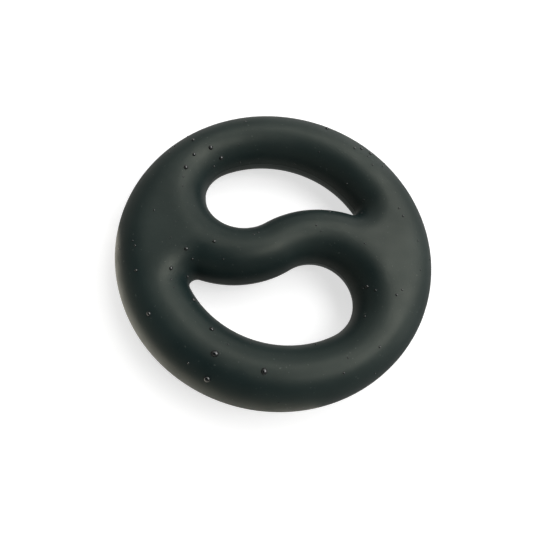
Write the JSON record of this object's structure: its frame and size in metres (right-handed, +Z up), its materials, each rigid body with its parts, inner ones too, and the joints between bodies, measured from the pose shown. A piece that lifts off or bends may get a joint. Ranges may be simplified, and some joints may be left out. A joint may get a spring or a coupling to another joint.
{
  "type": "massage ring",
  "caption": "Thick, soft, round silicone ring with an S-shaped cross bar and comma-shaped openings, all edges rounded, held and squeezed in the hand for massage and grip exercise.",
  "frame": {"origin": "on the resting plane, under the centre of the ring", "axes": "+Z up through the thickness, +X along the cross bar towards one of the pads where it joins the ring, +Y towards the side of the first opening"},
  "size_m": [0.072, 0.072, 0.0136],
  "materials": {
    "silicone": "matte"
  },
  "bodies": {
    "root": {"moulded_ring": "silicone"}
  },
  "joints": []
}
